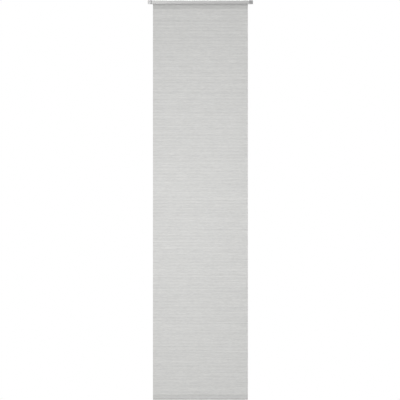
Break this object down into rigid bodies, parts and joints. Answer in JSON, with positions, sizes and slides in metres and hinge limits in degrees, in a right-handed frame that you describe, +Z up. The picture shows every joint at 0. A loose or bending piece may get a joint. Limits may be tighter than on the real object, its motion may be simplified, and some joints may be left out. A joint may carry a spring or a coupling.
{
  "type": "sliding panel curtain",
  "caption": "Flat cloth panel that slides on wheeled trucks in a short ceiling rail, hung by hook-and-loop tape from a carrier and kept flat by a bar in its hem.",
  "frame": {"origin": "middle of the rail's top face, which lies against the ceiling", "axes": "+X along the rail to the right as seen from the front, +Y from the front to the back, +Z up"},
  "size_m": [0.6642, 0.0346, 2.5245],
  "materials": {
    "rail_aluminium": "satin anodised",
    "cap_plastic": "satin moulded",
    "carrier_aluminium": "mill finish",
    "carrier_cap_plastic": "satin moulded",
    "truck_plastic": "moulded acetal",
    "wheel_plastic": "moulded nylon",
    "axle_steel": "bright zinc",
    "hook_tape": "nylon hooks",
    "loop_tape": "brushed loops",
    "panel_cloth": "plain weave with slubs",
    "bar_aluminium": "mill finish",
    "bar_cap_plastic": "moulded"
  },
  "bodies": {
    "rail": {"rail": "rail_aluminium", "rail_end_cap_left": "cap_plastic", "rail_end_cap_right": "cap_plastic"},
    "panel": {"carrier": "carrier_aluminium", "carrier_end_cap_left": "carrier_cap_plastic", "carrier_end_cap_right": "carrier_cap_plastic", "truck_left": "truck_plastic", "truck_right": "truck_plastic", "axle_left_outer": "axle_steel", "axle_left_inner": "axle_steel", "axle_right_outer": "axle_steel", "axle_right_inner": "axle_steel", "hook_tape": "hook_tape", "loop_tape": "loop_tape", "cloth_panel": "panel_cloth", "weight_bar": "bar_aluminium", "bar_cap_left": "bar_cap_plastic", "bar_cap_right": "bar_cap_plastic"},
    "left_outer_front_wheel": {"wheel_left_outer_front": "wheel_plastic"},
    "left_outer_back_wheel": {"wheel_left_outer_back": "wheel_plastic"},
    "left_inner_front_wheel": {"wheel_left_inner_front": "wheel_plastic"},
    "left_inner_back_wheel": {"wheel_left_inner_back": "wheel_plastic"},
    "right_outer_front_wheel": {"wheel_right_outer_front": "wheel_plastic"},
    "right_outer_back_wheel": {"wheel_right_outer_back": "wheel_plastic"},
    "right_inner_front_wheel": {"wheel_right_inner_front": "wheel_plastic"},
    "right_inner_back_wheel": {"wheel_right_inner_back": "wheel_plastic"}
  },
  "joints": [
    {"name": "panel_slide", "type": "slide", "parent": "rail", "child": "panel", "axis": [1, 0, 0], "range_m": [-0.0297, 0.0297]},
    {"name": "left_outer_front_spin", "type": "hinge", "parent": "panel", "child": "left_outer_front_wheel", "pos_m": [-0.252, -0.00745, -0.01465], "axis": [0, 1, 0], "continuous": true},
    {"name": "left_outer_back_spin", "type": "hinge", "parent": "panel", "child": "left_outer_back_wheel", "pos_m": [-0.252, 0.00745, -0.01465], "axis": [0, 1, 0], "continuous": true},
    {"name": "left_inner_front_spin", "type": "hinge", "parent": "panel", "child": "left_inner_front_wheel", "pos_m": [-0.228, -0.00745, -0.01465], "axis": [0, 1, 0], "continuous": true},
    {"name": "left_inner_back_spin", "type": "hinge", "parent": "panel", "child": "left_inner_back_wheel", "pos_m": [-0.228, 0.00745, -0.01465], "axis": [0, 1, 0], "continuous": true},
    {"name": "right_outer_front_spin", "type": "hinge", "parent": "panel", "child": "right_outer_front_wheel", "pos_m": [0.252, -0.00745, -0.01465], "axis": [0, 1, 0], "continuous": true},
    {"name": "right_outer_back_spin", "type": "hinge", "parent": "panel", "child": "right_outer_back_wheel", "pos_m": [0.252, 0.00745, -0.01465], "axis": [0, 1, 0], "continuous": true},
    {"name": "right_inner_front_spin", "type": "hinge", "parent": "panel", "child": "right_inner_front_wheel", "pos_m": [0.228, -0.00745, -0.01465], "axis": [0, 1, 0], "continuous": true},
    {"name": "right_inner_back_spin", "type": "hinge", "parent": "panel", "child": "right_inner_back_wheel", "pos_m": [0.228, 0.00745, -0.01465], "axis": [0, 1, 0], "continuous": true}
  ],
  "couplings": [
    {"joint": "left_outer_front_spin", "follows": "panel_slide", "rad_per_m": 166.67},
    {"joint": "left_outer_back_spin", "follows": "panel_slide", "rad_per_m": 166.67},
    {"joint": "left_inner_front_spin", "follows": "panel_slide", "rad_per_m": 166.67},
    {"joint": "left_inner_back_spin", "follows": "panel_slide", "rad_per_m": 166.67},
    {"joint": "right_outer_front_spin", "follows": "panel_slide", "rad_per_m": 166.67},
    {"joint": "right_outer_back_spin", "follows": "panel_slide", "rad_per_m": 166.67},
    {"joint": "right_inner_front_spin", "follows": "panel_slide", "rad_per_m": 166.67},
    {"joint": "right_inner_back_spin", "follows": "panel_slide", "rad_per_m": 166.67}
  ]
}
